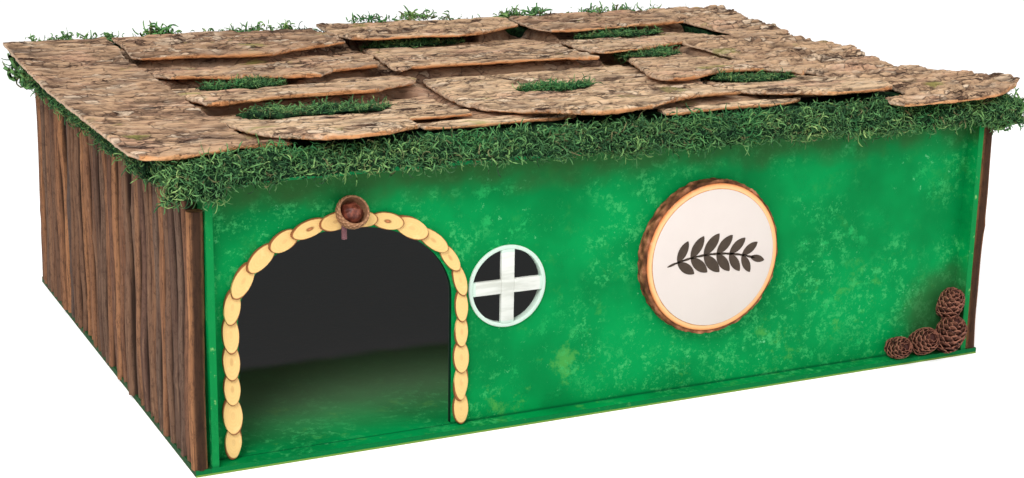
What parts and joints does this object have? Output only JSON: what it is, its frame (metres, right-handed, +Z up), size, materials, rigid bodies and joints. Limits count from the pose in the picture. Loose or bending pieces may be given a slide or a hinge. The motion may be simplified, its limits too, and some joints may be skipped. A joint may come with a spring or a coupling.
{
  "type": "hedgehog house",
  "caption": "Low wooden hedgehog house: arched doorway, round window, log-slice sign, twig-clad sides and a lift-off roof of layered bark on moss.",
  "frame": {"origin": "centre of the base board's underside", "axes": "+X to the right as seen from the front, +Y to the rear, +Z up; the doorway faces -Y"},
  "size_m": [0.6135, 0.4489, 0.1919],
  "materials": {
    "green_paint": "thin plywood with sponged green paint, satin",
    "white_paint": "white paint on wood, matt",
    "plain_wood": "bare softwood",
    "twig_bark": "dry twigs with their bark on, matt",
    "slice_wood": "pale sawn end grain with a thin bark edge",
    "sign_wood": "sawn log slice, sanded",
    "sign_bark": "rough bark on the edge of the log slice",
    "roof_bark": "fissured dry bark with orange broken edges",
    "moss": "dried preserved moss",
    "acorn": "dry acorn cap with the nut inside",
    "pine_cone": "small dark cones, open scales"
  },
  "bodies": {
    "house": {"acorn_cap": "acorn", "acorn_nut": "acorn", "acorn_stem": "acorn", "arch_slices": "slice_wood", "back_panel": "green_paint", "base_board": "green_paint", "front_panel": "green_paint", "left_jamb_slices": "slice_wood", "left_wall": "green_paint", "pine_cone_corner": "pine_cone", "pine_cone_first": "pine_cone", "pine_cone_second": "pine_cone", "pine_cone_upper": "pine_cone", "right_jamb_slices": "slice_wood", "right_wall": "green_paint", "sign_bark": "sign_bark", "sign_face": "white_paint", "sign_slice": "sign_wood", "twigs_left_front": "twig_bark", "twigs_left_middle": "twig_bark", "twigs_left_rear": "twig_bark", "twigs_right_front": "twig_bark", "twigs_right_middle": "twig_bark", "twigs_right_rear": "twig_bark", "window_bar_cross": "white_paint", "window_bar_upright": "white_paint", "window_ring": "white_paint"},
    "roof": {"bark_centre_front": "roof_bark", "bark_centre_middle": "roof_bark", "bark_centre_rear": "roof_bark", "bark_left_front": "roof_bark", "bark_left_rear": "roof_bark", "bark_left_second": "roof_bark", "bark_left_side": "roof_bark", "bark_left_third": "roof_bark", "bark_right_front": "roof_bark", "bark_right_rear": "roof_bark", "bark_right_second": "roof_bark", "bark_right_side": "roof_bark", "bark_right_third": "roof_bark", "bark_strip_left": "roof_bark", "bark_strip_right": "roof_bark", "moss_front": "moss", "moss_left": "moss", "moss_rear": "moss", "moss_right": "moss", "moss_tuft_centre": "moss", "moss_tuft_left_front": "moss", "moss_tuft_left_middle": "moss", "moss_tuft_rear": "moss", "moss_tuft_right_front": "moss", "moss_tuft_right_middle": "moss", "moss_tuft_right_rear": "moss", "roof_batten_left": "plain_wood", "roof_batten_right": "plain_wood", "roof_board": "green_paint"}
  },
  "joints": [
    {"name": "roof_lift", "type": "slide", "parent": "house", "child": "roof", "axis": [0, 0, 1], "range_m": [0, 0.12]}
  ]
}
